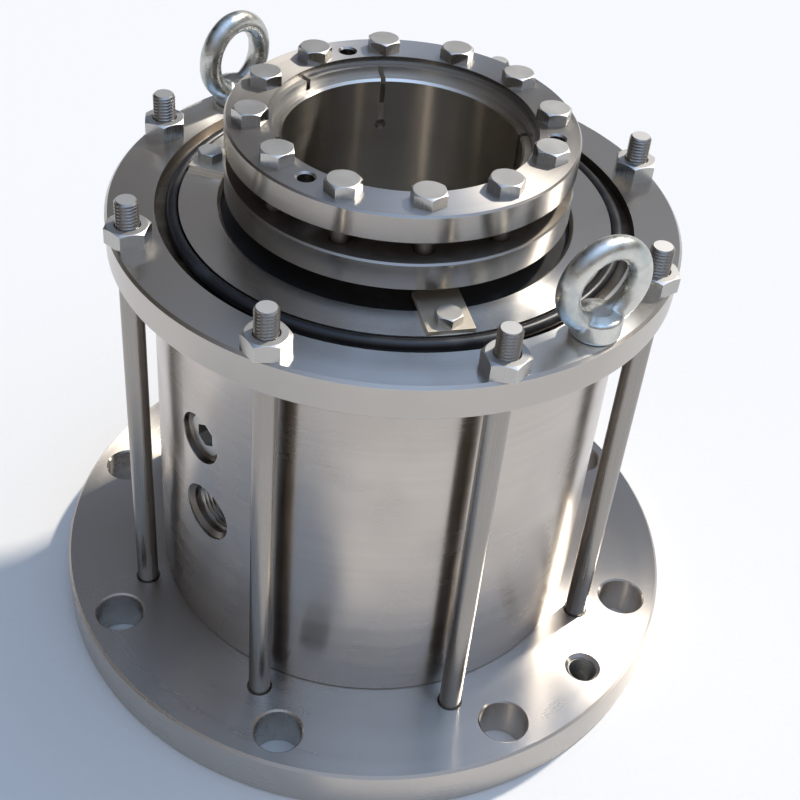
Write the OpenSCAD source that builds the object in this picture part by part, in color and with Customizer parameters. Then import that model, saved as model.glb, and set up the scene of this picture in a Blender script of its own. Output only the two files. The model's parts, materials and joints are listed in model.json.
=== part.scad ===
// Cartridge double mechanical seal with wave springs, for a vertical agitator shaft.
// The origin is the centre of the base flange's lower face, and the shaft runs along +Z.

/* [Base flange] */
// Thickness of the base flange
base_t = 22.5; // [21:0.5:30]
// Diameter of a vessel bolt hole
bolt_hole_d = 22; // [16:1:24]
// Metal between a vessel bolt's hole and a tie rod
bolt_land = 3.5; // [2:0.5:8]
// Metal between a vessel bolt's hole and the flange's rim
base_rim = 6.5; // [5:0.5:12]
// Number of vessel bolt holes
bolt_n = 8; // [4:1:8]
// Angle of the first vessel bolt hole
bolt_angle = -12.4; // [-14:0.1:-10]
// Bore of a jacking hole, cut for an M16 thread
jack_d = 14; // [10:0.5:16]
// Height of the register that centres the shell
register_h = 3; // [2:0.5:4]
// Edge chamfer of the large turned pieces
edge_c = 1.2; // [0.5:0.1:2]

/* [Housing shell] */
// Wall of the shell round the bearing
shell_wall = 19.25; // [17:0.25:24]
// Height of the shell
shell_h = 183; // [180:1:200]
// Gap between the rotating seal parts and the wall of the chamber
chamber_gap = 5; // [3:0.5:8]
// Width of the ledge that carries the seat carrier
ledge_w = 5; // [4:0.5:7]

/* [Ports] */
// Angle of the open port
port_angle = -132.4; // [-136:0.1:-130]
// Height of the open port above the shell's foot
port_z = 78.5; // [70:0.5:84]
// Bore of an open port, cut for a G3/4 thread
port_d = 24.1; // [18:0.1:26]
// Diameter of an open port's mouth
port_mouth_d = 28; // [27:0.5:31]
// Angle of the plugged port
plug_angle = -134.6; // [-137:0.1:-130]
// Height of the plugged port above the shell's foot
plug_z = 119.5; // [114:0.5:121]
// Thread diameter of the plug
plug_d = 20.9; // [16:0.1:21]
// Diameter of the plugged port's mouth
plug_mouth_d = 24.5; // [23:0.5:26]
// Depth of the plug's face below the shell
plug_sink = 3.4; // [2.5:0.1:5]
// Key size of the plug's socket
plug_key = 10; // [8:1:12]
// Length of the plug
plug_len = 13; // [10:0.5:15]
// Angle of the outlet port at the back
outlet_angle = 46.8; // [43:0.1:50]

/* [Cover ring] */
// Rim of the cover outside the tie rods
cover_rim = 2.5; // [2:0.5:6]
// Thickness of the cover ring
cover_t = 16; // [15:0.5:20]
// Depth of the spigot that goes into the shell
spigot_h = 8; // [7:0.5:9]
// Width of the flat face between the lip seal's pocket and the groove
face_land = 17.5; // [16:0.5:20]
// Depth of the lip seal below the cover's face
seal_sink = 4; // [3.5:0.1:5]
// Flat face between the groove and the nuts
nut_land = 4.5; // [4:0.5:8]
// Width of the groove in the cover's face
groove_w = 10; // [9.5:0.1:11]
// Depth of the groove
groove_depth = 5; // [4.5:0.1:7]
// Cord diameter of the O-ring in the groove
face_cord = 5.5; // [5:0.1:6]

/* [Tie rods] */
// Number of tie rods
rod_n = 8; // [4:2:8]
// Gap between the shell and a tie rod
rod_gap = 6.25; // [4:0.25:10]
// Angle of the first tie rod
rod_angle = 24.3; // [22:0.1:26]
// Diameter of a tie rod
rod_d = 10; // [8:0.5:11]
// Length of a rod above the cover's face
rod_stand = 19; // [16:0.5:26]
// Depth of a rod in the base flange
rod_depth = 16; // [12:0.5:18]
// Width across flats of a tie rod's nut
nut_af = 17; // [16:0.5:19]
// Height of a tie rod's nut
nut_h = 7.5; // [6:0.5:10]

/* [Eye bolts] */
// Outer diameter of the lifting ring
eye_d = 42; // [40:1:46]
// Thickness of the lifting ring
eye_wire = 9.5; // [8:0.5:10]
// Height of an eye bolt above the cover
eye_h = 43.5; // [42.5:0.5:48]
// Diameter of the collar
eye_collar_d = 20; // [18:0.5:20.5]
// Height of the collar's top above the lowest point inside the ring
eye_floor = 0.4; // [0.2:0.1:1.5]
// Thread diameter of an eye bolt
eye_thread = 10; // [8:0.5:12]
// Length of the thread
eye_thread_len = 14; // [10:0.5:15]
// Angle of the front eye bolt on the cover
eye_front_at = -43.2; // [-45:0.1:-41]
// Angle of the rear eye bolt on the cover
eye_rear_at = 136.8; // [135:0.1:139]
// Direction of the front ring's plane
eye_front_turn = 32; // [0:1:90]
// Direction of the rear ring's plane
eye_rear_turn = 56; // [0:1:90]

/* [Setting clips] */
// Number of setting clips
clip_n = 3; // [2:1:3]
// Angle of the first setting clip
clip_angle = -72.8; // [-75:0.1:-71]
// Width of a clip
clip_w = 19; // [14:0.5:22]
// Thickness of a clip
clip_t = 2; // [1.5:0.1:3]
// Reach of a clip over the lip seal's pocket
clip_reach = 9; // [6:0.5:11]
// Gap between a clip and the groove
clip_gap = 0.5; // [0.1:0.1:1]
// Distance from a clip's outer end to its screw
clip_end = 6.2; // [5.5:0.1:7]
// Thread diameter of a clip's screw
clip_screw_d = 6; // [4:0.5:6]
// Length of a clip screw's thread
clip_screw_len = 12; // [8:0.5:13]
// Width across flats of a clip screw's head
clip_screw_af = 10; // [8:0.5:11]
// Height of a clip screw's head
clip_screw_head = 4; // [3:0.5:5]

/* [Clamping rings] */
// Radial width from the clamping bolts out to the rings' rim
clamp_rim = 10.5; // [9:0.5:14]
// Radial width from the clamping bolts in to the rings' bore
clamp_in = 7; // [6.5:0.5:9]
// Thickness of a clamping ring
clamp_t = 12.4; // [11:0.1:14]
// Gap between the two clamping rings
clamp_gap = 9; // [7:0.1:11]
// Height of the lower clamping ring above the cover
clamp_lift = 7.1; // [6:0.1:9]
// Wall of the taper ring at its thin ends
taper_wall = 2; // [1.5:0.1:3]
// Half angle of the clamping cones
cone_angle = 5; // [4:0.5:6]
// Number of clamping bolts
clamp_n = 12; // [6:3:12]
// Angle of the first clamping bolt
clamp_angle = 12.1; // [10:0.1:14]
// Thread diameter of a clamping bolt
clamp_bolt_d = 8; // [6:0.5:8]
// Width across flats of a clamping bolt's head
clamp_bolt_af = 13; // [11:0.5:14]
// Height of a clamping bolt's head
clamp_bolt_head = 5.3; // [4:0.1:7]
// Number of threaded holes for taking the rings apart
puller_n = 3; // [3:3:3]
// Depth of the taper ring below the upper ring's face
taper_sink = 3.9; // [3:0.1:5]
// Width of the cut in the taper ring
taper_cut = 2.5; // [1:0.1:4]
// Angle of the cut in the taper ring
taper_cut_at = 143; // [141:0.5:145]

/* [Shaft sleeve] */
// Shaft diameter, the bore of the sleeve
shaft_d = 100; // [99:0.5:101]
// Wall of the sleeve
sleeve_wall = 5; // [4.8:0.1:6]
// Step from the sleeve down to its neck under the clamping rings
neck_step = 1; // [0.5:0.1:1.5]
// Height of the sleeve's lower end above the flange's lower face
sleeve_foot = 2; // [1:0.5:4]
// Depth of the sleeve's upper end below the upper ring's face
sleeve_sink = 8.1; // [7:0.1:10]
// Number of clamping slits in the sleeve
slit_n = 4; // [2:1:6]
// Width of a slit
slit_w = 2.2; // [1:0.1:3]
// Length of a slit, down to the middle of its end hole
slit_len = 22; // [18:0.5:24]
// Diameter of the hole that ends a slit
slit_hole_d = 5; // [3:0.1:6]
// Angle of the first slit
slit_angle = 13.5; // [10:0.5:16]
// Step from the sleeve up to the shoulder that carries the bearing
shoulder_step = 3; // [2:0.5:4]
// Height of that shoulder
shoulder_h = 5; // [4:0.5:6]
// Cord diameter of the O-ring between sleeve and shaft
shaft_cord = 3; // [2.5:0.1:3.2]
// Height of that O-ring above the sleeve's lower end
shaft_cord_z = 12; // [8:0.5:16]

/* [Bearing] */
// Width of the ball bearing
brg_w = 28; // [27:0.5:30]
// Diameter of a ball
ball_d = 19; // [17:0.5:20]
// Number of balls
ball_n = 13; // [9:1:14]
// Thickness of the retaining ring on the sleeve
circlip_t = 4; // [3:0.1:4.5]
// Rise of the retaining ring above the sleeve
circlip_rise = 5; // [4:0.5:6]
// Depth of the retaining ring's groove in the sleeve
circlip_depth = 2; // [1.5:0.1:2.5]

/* [Seats and seal rings] */
// Radial width of a stationary seat
seat_wall = 13.5; // [12:0.5:15]
// Height of a stationary seat
seat_h = 18.5; // [17:0.5:19]
// Height of a seat's face above its holder
seat_stand = 1.5; // [1:0.1:2]
// Cord diameter of a seat's O-ring
seat_cord = 5; // [4:0.1:5.5]
// Diameter of a seat's locking pin
lock_pin_d = 4; // [3:0.5:4.5]
// Height of a seal ring's body
ring_body_h = 17; // [15:0.5:18]
// Height of a seal ring's nose
nose_h = 3; // [2.5:0.1:4]
// Distance of the nose from the seat's bore
nose_in = 3; // [2:0.5:4]
// Radial width of the nose
nose_w = 5; // [4:0.5:6]
// Cord diameter of a seal ring's O-ring
ring_cord = 5.3; // [5:0.1:5.6]
// Thickness of a thrust washer
washer_t = 2; // [1.5:0.1:3]
// Depth of the seat carrier's hub below its flange
hub_h = 10; // [9:0.5:12]
// Gap between the seat carrier's hub and the wall of the chamber
hub_gap = 2.5; // [2:0.5:4]
// Thickness of the seat carrier's flange
carrier_t = 13.5; // [13:0.5:15]

/* [Wave springs] */
// Working height of a wave spring
spring_h = 14; // [12:0.5:15]
// Radial gap between the sleeve and a wave spring
spring_gap = 5; // [4:0.5:6]
// Radial width of the spring's flat wire
spring_wall = 6; // [4:0.5:6.5]
// Thickness of the spring's flat wire
spring_wire = 0.9; // [0.7:0.1:1.1]
// Number of waved turns between the two flat end turns
wave_turns = 3; // [2:1:4]
// Number of waves in one turn, with a half so that crests meet troughs
waves = 4.5; // [2.5:1:6.5]

/* [Drive collar] */
// Number of drive pins at each end
drive_pin_n = 4; // [2:1:6]
// Diameter of a drive pin
drive_pin_d = 5; // [4:0.5:5]
// Gap between a wave spring and a drive pin
pin_gap = 1.5; // [1:0.5:3]
// Wall outside a drive pin
pin_wall = 2.5; // [2:0.5:4]
// Depth of a drive pin in the collar
drive_pin_set = 8; // [6:0.5:10]
// Depth of a drive pin in a seal ring
drive_pin_reach = 6; // [4:0.5:7]
// Diameter of a set screw
set_screw_d = 8; // [6:0.5:10]
// Number of set screws
set_screw_n = 4; // [2:1:4]
// Key size of a set screw
set_screw_key = 4; // [3:0.5:5]

/* [Clearances] */
// Radial clearance of pieces that are fixed together
fit = 0.05; // [0.02:0.01:0.08]
// Clearance between soft or curved faces that move past each other
run = 0.3; // [0.2:0.05:0.4]
// Film between the running seal faces
film = 0.02; // [0.01:0.01:0.05]
// Radial gap between the sleeve and what stands still round it
sleeve_gap = 3; // [2.5:0.1:3.5]
// Axial travel of a seal ring on its spring
float_travel = 2; // [1:0.5:2.5]

/* [Hidden] */
$fn = 96;

// Radii from the shaft outwards
sleeve_r = shaft_d / 2 + sleeve_wall;
neck_r = sleeve_r - neck_step;
shoulder_r = sleeve_r + shoulder_step;
circlip_r = sleeve_r + circlip_rise;
still_r = sleeve_r + sleeve_gap;
ring_bore_r = sleeve_r + 2 * run;
seat_r = still_r + seat_wall;
recess_r = seat_r + 4 * fit;
seat_step_r = recess_r - seat_cord - 2 * fit;
lock_pin_r = (still_r + seat_step_r) / 2;
nose_r = still_r + nose_in;
spring_r = sleeve_r + spring_gap;
pin_r = spring_r + spring_wall + pin_gap + drive_pin_d / 2;
rotor_r = pin_r + drive_pin_d / 2 + pin_wall;
chamber_r = rotor_r + chamber_gap;
hub_r = chamber_r - hub_gap;
brg_r = chamber_r + ledge_w;
shell_r = brg_r + shell_wall;
rod_r = shell_r + rod_gap + rod_d / 2;
bolt_r = rod_r + rod_d / 2 + bolt_land + bolt_hole_d / 2;
base_r = bolt_r + bolt_hole_d / 2 + base_rim;

// Radii on the cover, from the tie rods inwards
cover_r = rod_r + rod_d / 2 + cover_rim;
groove_r_out = rod_r - nut_af / 2 - nut_land;
groove_r_in = groove_r_out - groove_w;
eye_r = groove_r_out + eye_collar_d / 2;
clip_r_out = groove_r_in - clip_gap;
clip_screw_r = clip_r_out - clip_end;
pocket_r = groove_r_in - face_land;
clip_r_in = pocket_r - clip_reach;

// Small sizes that many pieces share
bottom_tap = 0.5;
screw_c = 1;
hole_c = 0.8;
relief = 2;
rod_play = 1;
tap_step = 1.2;
screw_play = 0.5;
// Share of a hexagon's width that stays flat on its top
flat_share = 0.97;
// How far a cutting tool runs past the face that it cuts
over = 1;

// Heights of the outer stack
z_cover = base_t + shell_h;
z_face = z_cover + cover_t;
z_clamp = z_face + clamp_lift;
z_gap = z_clamp + clamp_t;
z_clamp_2 = z_gap + clamp_gap;
z_top = z_clamp_2 + clamp_t;
z_sleeve_top = z_top - sleeve_sink;
z_neck = z_face + clamp_lift / 2;

// Heights of the bearing and the seat carrier
z_brg_top = z_cover - spigot_h;
z_brg = z_brg_top - brg_w;
z_ledge = z_brg - carrier_t;
z_hub = z_ledge - hub_h;

// Heights of the seal faces and of the drive collar between them
recess_depth = seat_h - seat_stand;
z_foot_register = base_t + register_h;
z_face_low = z_foot_register + seat_stand;
z_face_high = z_hub - seat_stand;
ring_h = nose_h + ring_body_h;
half_stack = film + ring_h + washer_t + spring_h;
z_collar = z_face_low + half_stack;
z_collar_top = z_face_high - half_stack;

// Cones of the clamping rings
cone_rise = clamp_t * tan(cone_angle);
clamp_r_in = neck_r + taper_wall;
clamp_bolt_r = clamp_r_in + clamp_in;
clamp_r = clamp_bolt_r + clamp_rim;
clamp_r_mid = clamp_r_in + cone_rise;

// Ball bearing
race_mid_r = (sleeve_r + brg_r) / 2;
race_gap = ball_d / 4;
ball_play = 0.2;

// Cords of the small static O-rings
foot_cord = 4;
spigot_cord = 3.5;
carrier_cord = 3.5;

// Placing: a child at radius r and angle a, and n of them on a circle
module polar(r, a) {
    rotate(a)
        translate([r, 0, 0])
            children();
}

module circle_of(n, r, first) {
    for (i = [0:n - 1])
        polar(r, first + 360 * i / n)
            children();
}

// A ring of round cord
module cord_ring(mid_r, cord) {
    rotate_extrude()
        translate([mid_r, 0])
            circle(d = cord);
}

// A tube along Z with its outer edges broken
module tube(r_in, r_out, h, c) {
    rotate_extrude()
        polygon([[r_in, 0], [r_out - c, 0], [r_out, c], [r_out, h - c], [r_out - c, h], [r_in, h]]);
}

// Cutter for a hole from z = 0 up to h, with its mouth at h countersunk
module mouth_hole(d, h, c) {
    translate([0, 0, -over])
        cylinder(d = d, h = h + 2 * over);
    translate([0, 0, h - c])
        cylinder(d1 = d, d2 = d + 2 * (c + over), h = c + over);
}

// Cutter for a through hole with both mouths countersunk
module through_hole(d, h, c) {
    mouth_hole(d, h, c);
    translate([0, 0, h])
        mirror([0, 0, 1])
            mouth_hole(d, h, c);
}

// Hexagon with its upper corners turned off at thirty degrees
module hexagon(af, h) {
    flat_r = flat_share * af / 2;
    intersection() {
        cylinder(r = af / 2 / cos(30), h = h, $fn = 6);
        cylinder(r1 = flat_r + h / tan(30), r2 = flat_r, h = h);
    }
}

// Hexagon head screw with its head on z = 0 and its thread below
module hex_screw(d, len, af, head_h) {
    hexagon(af, head_h);
    translate([0, 0, -len])
        cylinder(d1 = d - 2 * screw_c, d2 = d, h = screw_c);
    translate([0, 0, screw_c - len])
        cylinder(d = d, h = len - screw_c + over / 2);
}

// Bolted flange that sits on the vessel, with the lower seat's recess
module base_flange() {
    z_recess = z_foot_register - recess_depth;
    register_r = chamber_r - fit;
    color("silver")
        difference() {
            rotate_extrude()
                polygon([
                    [still_r, 0], [base_r - edge_c, 0], [base_r, edge_c],
                    [base_r, base_t - edge_c], [base_r - edge_c, base_t],
                    [register_r, base_t], [register_r, z_foot_register],
                    [recess_r, z_foot_register], [recess_r, z_recess], [still_r, z_recess]
                ]);
            circle_of(bolt_n, bolt_r, bolt_angle)
                through_hole(bolt_hole_d, base_t, hole_c);
            circle_of(2, bolt_r, bolt_angle - 180 / bolt_n)
                through_hole(jack_d, base_t, 2 * hole_c);
            circle_of(rod_n, rod_r, rod_angle)
                translate([0, 0, base_t - rod_depth - bottom_tap])
                    mouth_hole(rod_d + 2 * fit, rod_depth + bottom_tap, hole_c);
            foot_groove();
            translate([0, 0, z_recess])
                lock_pins(2 * fit);
        }
}

// Groove in the base for the O-ring under the shell
module foot_groove() {
    groove_r = (chamber_r + shell_r) / 2;
    translate([0, 0, base_t - foot_cord - fit])
        difference() {
            cylinder(r = groove_r + foot_cord / 2 + fit, h = foot_cord + over);
            translate([0, 0, -over])
                cylinder(r = groove_r - foot_cord / 2 - fit, h = foot_cord + 3 * over);
        }
}

module foot_o_ring() {
    color("black")
        translate([0, 0, base_t - foot_cord / 2 - fit / 2])
            cord_ring((chamber_r + shell_r) / 2, foot_cord);
}

// Cutter for a radial port: bore, mouth and the chamfer between them
module port_cut(angle, z, bore, mouth, sink) {
    c = (mouth - bore) / 2;
    rotate(angle)
        translate([0, 0, base_t + z])
            rotate([0, 90, 0]) {
                cylinder(d = bore, h = shell_r + over);
                translate([0, 0, shell_r - sink - c])
                    cylinder(d1 = bore, d2 = mouth, h = c);
                translate([0, 0, shell_r - sink])
                    cylinder(d = mouth, h = sink + over);
            }
}

// Turned shell round the seal chamber, with a ledge for the seat carrier
module housing_shell() {
    ledge = z_ledge - base_t;
    bore_r = brg_r + fit;
    port_sink = 1.4;
    color("lightgray")
        difference() {
            translate([0, 0, base_t])
                rotate_extrude()
                    polygon([
                        [chamber_r, 0], [shell_r - hole_c, 0], [shell_r, hole_c],
                        [shell_r, shell_h - hole_c], [shell_r - hole_c, shell_h],
                        [bore_r, shell_h], [bore_r, ledge], [chamber_r, ledge]
                    ]);
            port_cut(port_angle, port_z, port_d, port_mouth_d, port_sink);
            port_cut(outlet_angle, plug_z, port_d, port_mouth_d, port_sink);
            port_cut(plug_angle, plug_z, plug_d + 2 * fit, plug_mouth_d, plug_sink);
        }
}

// Threaded plug with a hexagon socket
module port_plug() {
    socket_depth = plug_len / 2;
    color("gainsboro")
        rotate(plug_angle)
            translate([0, 0, base_t + plug_z])
                rotate([0, 90, 0])
                    translate([0, 0, shell_r - plug_sink - plug_len])
                        difference() {
                            tube(0, plug_d / 2, plug_len, screw_c);
                            translate([0, 0, plug_len - socket_depth])
                                cylinder(r = plug_key / 2 / cos(30), h = socket_depth + over, $fn = 6);
                        }
}

// Cover ring on top of the shell, with the lip seal's pocket and the face groove
module cover_ring() {
    spigot_r = brg_r - fit;
    race_relief_r = race_mid_r + race_gap + relief;
    lip_r = circlip_r + sleeve_gap;
    pocket_c = 1.5;
    spigot_groove_r = spigot_r - spigot_cord - fit;
    color("silver")
        difference() {
            rotate_extrude()
                polygon([
                    [lip_r, z_brg_top + relief], [race_relief_r, z_brg_top + relief],
                    [race_relief_r, z_brg_top], [spigot_r, z_brg_top], [spigot_r, z_cover],
                    [cover_r - edge_c, z_cover], [cover_r, z_cover + edge_c],
                    [cover_r, z_face - edge_c], [cover_r - edge_c, z_face],
                    [groove_r_out, z_face], [groove_r_out, z_face - groove_depth],
                    [groove_r_in, z_face - groove_depth], [groove_r_in, z_face],
                    [pocket_r + pocket_c, z_face], [pocket_r, z_face - pocket_c],
                    [pocket_r, z_cover], [lip_r, z_cover]
                ]);
            circle_of(rod_n, rod_r, rod_angle)
                translate([0, 0, z_cover])
                    through_hole(rod_d + rod_play, cover_t, hole_c / 2);
            for (a = [eye_front_at, eye_rear_at])
                polar(eye_r, a)
                    translate([0, 0, z_cover])
                        through_hole(eye_thread + 2 * fit, cover_t, hole_c);
            circle_of(clip_n, clip_screw_r, clip_angle)
                translate([0, 0, z_face - clip_screw_len])
                    cylinder(d = clip_screw_d + 2 * fit, h = clip_screw_len + over);
            translate([0, 0, z_cover - spigot_h / 2 - spigot_cord / 2 - fit])
                difference() {
                    cylinder(r = spigot_r + over, h = spigot_cord + 2 * fit);
                    translate([0, 0, -over])
                        cylinder(r = spigot_groove_r, h = spigot_cord + 3 * over);
                }
        }
}

module spigot_o_ring() {
    color("black")
        translate([0, 0, z_cover - spigot_h / 2])
            cord_ring(brg_r - 2 * fit - spigot_cord / 2 + fit / 2, spigot_cord);
}

module face_o_ring() {
    color([0.09, 0.09, 0.1])
        translate([0, 0, z_face - groove_depth + face_cord / 2])
            cord_ring(groove_r_in + fit + face_cord / 2, face_cord);
}

// Tie rods that pull the cover down on the shell
module tie_rods() {
    len = rod_depth + shell_h + cover_t + rod_stand;
    color("darkgray")
        circle_of(rod_n, rod_r, rod_angle)
            translate([0, 0, base_t - rod_depth])
                tube(0, rod_d / 2, len, screw_c);
}

module tie_rod_nuts() {
    color("gainsboro")
        circle_of(rod_n, rod_r, rod_angle)
            translate([0, 0, z_face])
                difference() {
                    hexagon(nut_af, nut_h);
                    through_hole(rod_d + 2 * fit, nut_h, screw_c / 2);
                }
}

// Lifting eye bolt: ring, barrel collar up to the floor of the eye, and thread
module eye_bolt(at, turn) {
    mid_r = (eye_d - eye_wire) / 2;
    collar_h = eye_h - eye_d + eye_wire + eye_floor;
    color("lightsteelblue")
        polar(eye_r, at)
            rotate(turn - at)
                translate([0, 0, z_face]) {
                    translate([0, 0, eye_h - eye_d / 2])
                        rotate([90, 0, 0])
                            cord_ring(mid_r, eye_wire);
                    tube(0, eye_collar_d / 2, collar_h, screw_c);
                    translate([0, 0, -eye_thread_len])
                        tube(0, eye_thread / 2, eye_thread_len + over, screw_c);
                }
}

module eye_bolt_front() {
    eye_bolt(eye_front_at, eye_front_turn);
}

module eye_bolt_rear() {
    eye_bolt(eye_rear_at, eye_rear_turn);
}

// Flat clips that set the height of the sleeve while it is fitted
module setting_clips() {
    len = clip_r_out - clip_r_in;
    color("tan")
        circle_of(clip_n, clip_r_in, clip_angle)
            translate([0, 0, z_face])
                difference() {
                    translate([0, -clip_w / 2, 0])
                        cube([len, clip_w, clip_t]);
                    translate([clip_screw_r - clip_r_in, 0, -over])
                        cylinder(d = clip_screw_d + screw_play, h = clip_t + 2 * over);
                }
}

module clip_screws() {
    color("gainsboro")
        circle_of(clip_n, clip_screw_r, clip_angle)
            translate([0, 0, z_face + clip_t])
                hex_screw(clip_screw_d, clip_screw_len, clip_screw_af, clip_screw_head);
}

// Stationary seat, drawn with its back on z = 0 and its sealing face on top
module seat() {
    step_h = seat_cord + 2 * fit;
    color("dimgray")
        difference() {
            rotate_extrude()
                polygon([
                    [still_r, 0], [seat_step_r, 0], [seat_step_r, step_h], [seat_r, step_h],
                    [seat_r, seat_h - hole_c], [seat_r - hole_c, seat_h], [still_r, seat_h]
                ]);
            lock_pins(2 * run);
        }
}

module seat_ring_cord() {
    color("black")
        translate([0, 0, seat_cord / 2 + fit])
            cord_ring(recess_r - fit - seat_cord / 2, seat_cord);
}

// Two pins that stop a seat from turning, or their holes when extra is given
module lock_pins(extra) {
    pin_half = lock_pin_d;
    color("silver")
        circle_of(2, lock_pin_r, 0)
            translate([0, 0, -pin_half - extra / 2])
                cylinder(d = lock_pin_d + extra, h = 2 * pin_half + extra);
}

// Places the lower seat's pieces in the base flange
module in_base() {
    translate([0, 0, z_foot_register - recess_depth])
        children();
}

// Places the upper seat's pieces upside down in the seat carrier
module in_carrier() {
    translate([0, 0, z_hub + recess_depth])
        mirror([0, 0, 1])
            children();
}

module lower_seat() {
    in_base()
        seat();
}

module lower_seat_o_ring() {
    in_base()
        seat_ring_cord();
}

module lower_seat_pins() {
    in_base()
        lock_pins(0);
}

module upper_seat() {
    in_carrier()
        seat();
}

module upper_seat_o_ring() {
    in_carrier()
        seat_ring_cord();
}

module upper_seat_pins() {
    in_carrier()
        lock_pins(0);
}

// Carrier of the upper seat: it lies on the shell's ledge, under the bearing
module seat_carrier() {
    flange_r = brg_r - fit;
    rim_r = race_mid_r + race_gap + relief;
    z_floor = z_hub + recess_depth;
    groove_r = flange_r - carrier_cord - fit;
    z_cord = z_brg - carrier_t / 2;
    color("silver")
        difference() {
            rotate_extrude()
                polygon([
                    [recess_r, z_hub], [hub_r, z_hub], [hub_r, z_ledge], [flange_r, z_ledge],
                    [flange_r, z_brg], [rim_r, z_brg], [rim_r, z_brg - relief],
                    [shoulder_r + sleeve_gap / 2, z_brg - relief],
                    [shoulder_r + sleeve_gap / 2, z_floor], [recess_r, z_floor]
                ]);
            translate([0, 0, z_cord - carrier_cord / 2 - fit])
                difference() {
                    cylinder(r = flange_r + over, h = carrier_cord + 2 * fit);
                    translate([0, 0, -over])
                        cylinder(r = groove_r, h = carrier_cord + 3 * over);
                }
            in_carrier()
                lock_pins(2 * fit);
        }
}

module carrier_o_ring() {
    color("black")
        translate([0, 0, z_brg - carrier_t / 2])
            cord_ring(brg_r - 2 * fit - carrier_cord / 2 + fit / 2, carrier_cord);
}

// Groove that the balls run in, shared by both races
module ball_track() {
    translate([0, 0, brg_w / 2])
        cord_ring(race_mid_r, ball_d + 2 * ball_play);
}

module bearing_outer_race() {
    color("gainsboro")
        translate([0, 0, z_brg])
            difference() {
                tube(race_mid_r + race_gap, brg_r, brg_w, hole_c);
                ball_track();
            }
}

module bearing_inner_race() {
    color("gainsboro")
        translate([0, 0, z_brg])
            difference() {
                tube(sleeve_r + fit, race_mid_r - race_gap, brg_w, hole_c);
                ball_track();
            }
}

module bearing_balls() {
    color("white")
        circle_of(ball_n, race_mid_r, 0)
            translate([0, 0, z_brg + brg_w / 2])
                sphere(d = ball_d);
}

// Ring with a round pocket for each ball
module bearing_cage() {
    cage_rim = 2;
    cage_h = ball_d + 2 * cage_rim;
    cage_wall = race_gap / 2;
    color("goldenrod")
        translate([0, 0, z_brg + brg_w / 2])
            difference() {
                translate([0, 0, -cage_h / 2])
                    tube(race_mid_r - cage_wall, race_mid_r + cage_wall, cage_h, hole_c / 2);
                circle_of(ball_n, race_mid_r, 0)
                    rotate([0, 90, 0])
                        cylinder(d = ball_d + 2 * ball_play, h = 2 * ball_d, center = true);
            }
}

// Shaft seal in the cover: a stiff outer wall, a web, a dust lip above and a sealing lip below
module lip_seal() {
    h = cover_t - seal_sink;
    r_out = pocket_r - fit;
    r_lip = sleeve_r + run;
    wall = 3.5;
    lip = 2;
    color([0.06, 0.06, 0.06])
        translate([0, 0, z_cover])
            rotate_extrude()
                polygon([
                    [r_out - wall, 0], [r_out, 0], [r_out, h], [r_lip + lip, h], [r_lip, h - lip / 2],
                    [r_lip + lip, h - 2 * lip], [r_lip + lip, 1.5 * lip], [r_lip, lip],
                    [r_lip + lip / 2, lip / 2], [r_lip + 2 * lip, lip / 2], [r_lip + 2.5 * lip, h - wall],
                    [r_out - wall, h - wall]
                ]);
}

// Shaft sleeve: bearing shoulder, ring groove, slit neck and the shaft's O-ring groove
module shaft_sleeve() {
    bore_r = shaft_d / 2;
    end_c = 1;
    z_cord = sleeve_foot + shaft_cord_z;
    color([0.55, 0.53, 0.5])
        difference() {
            rotate_extrude()
                polygon([
                    [bore_r, sleeve_foot], [sleeve_r - end_c, sleeve_foot], [sleeve_r, sleeve_foot + end_c],
                    [sleeve_r, z_brg - shoulder_h], [shoulder_r, z_brg - shoulder_h],
                    [shoulder_r, z_brg], [sleeve_r, z_brg], [sleeve_r, z_brg_top],
                    [sleeve_r - circlip_depth, z_brg_top],
                    [sleeve_r - circlip_depth, z_brg_top + circlip_t + fit],
                    [sleeve_r, z_brg_top + circlip_t + fit], [sleeve_r, z_neck], [neck_r, z_neck],
                    [neck_r, z_sleeve_top - end_c / 2], [neck_r - end_c / 2, z_sleeve_top],
                    [bore_r + end_c, z_sleeve_top], [bore_r, z_sleeve_top - end_c],
                    [bore_r, z_cord + shaft_cord / 2 + fit],
                    [bore_r + shaft_cord + 2 * fit, z_cord + shaft_cord / 2 + fit],
                    [bore_r + shaft_cord + 2 * fit, z_cord - shaft_cord / 2 - fit],
                    [bore_r, z_cord - shaft_cord / 2 - fit]
                ]);
            circle_of(slit_n, 0, slit_angle)
                translate([0, 0, z_sleeve_top - slit_len]) {
                    translate([0, -slit_w / 2, 0])
                        cube([sleeve_r + over, slit_w, slit_len + over]);
                    rotate([0, 90, 0])
                        cylinder(d = slit_hole_d, h = sleeve_r + over);
                }
        }
}

module shaft_o_ring() {
    color("black")
        translate([0, 0, sleeve_foot + shaft_cord_z])
            cord_ring(shaft_d / 2 + 1.5 * fit + shaft_cord / 2, shaft_cord);
}

// Split retaining ring in the sleeve's groove, with a hole at each end for the pliers
module retaining_ring() {
    r_in = sleeve_r - circlip_depth + fit;
    r_out = circlip_r;
    mouth_w = 16;
    hole_d = 3;
    color("darkslategray")
        translate([0, 0, z_brg_top + fit / 2])
            difference() {
                tube(r_in, r_out, circlip_t, hole_c / 4);
                translate([0, -mouth_w / 2, -over])
                    cube([r_out + over, mouth_w, circlip_t + 2 * over]);
                for (s = [-1, 1])
                    translate([(r_in + r_out) / 2, s * (mouth_w / 2 + hole_d), -over])
                        cylinder(d = hole_d, h = circlip_t + 2 * over);
            }
}

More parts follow.
